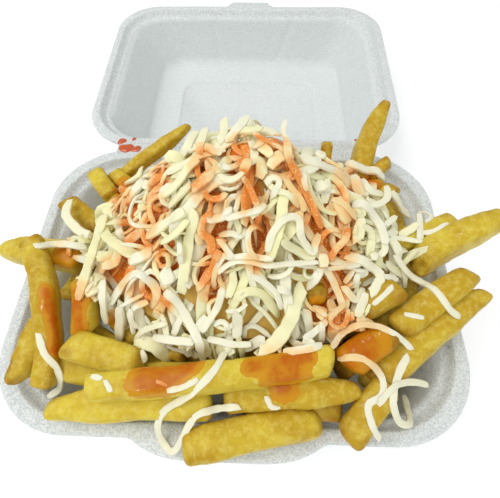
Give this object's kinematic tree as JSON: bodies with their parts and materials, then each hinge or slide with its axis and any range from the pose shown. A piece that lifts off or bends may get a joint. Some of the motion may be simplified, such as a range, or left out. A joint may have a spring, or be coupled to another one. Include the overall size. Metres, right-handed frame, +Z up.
{
  "type": "loaded fries in an open hinged foam box",
  "caption": "Open hinged foam takeaway box with a tall heap of thick-cut fries, grated cheese and drizzled hot sauce; the lid turns on a thin crease.",
  "frame": {"origin": "centre of the tray's flat underside, on the surface it stands on", "axes": "+Y from the tray's front rim to the hinge and the opened lid, +X to the right seen from the front, +Z up"},
  "size_m": [0.2034, 0.276, 0.0905],
  "materials": {
    "white_foam": "pale expanded foam with a fine bead sparkle",
    "golden_fries": "fried potato, slightly oily",
    "grated_cheese": "soft moist grated cheese, tinted orange where sauce lies",
    "hot_sauce": "thin glossy orange sauce"
  },
  "bodies": {
    "base": {"box_base": "white_foam", "fries": "golden_fries", "cheese": "grated_cheese"},
    "lid": {"box_lid": "white_foam"}
  },
  "joints": [
    {"name": "lid_hinge", "type": "hinge", "parent": "base", "child": "lid", "pos_m": [0, 0.06925, 0.038], "axis": [1, 0, 0], "range_deg": [0, 100]}
  ]
}
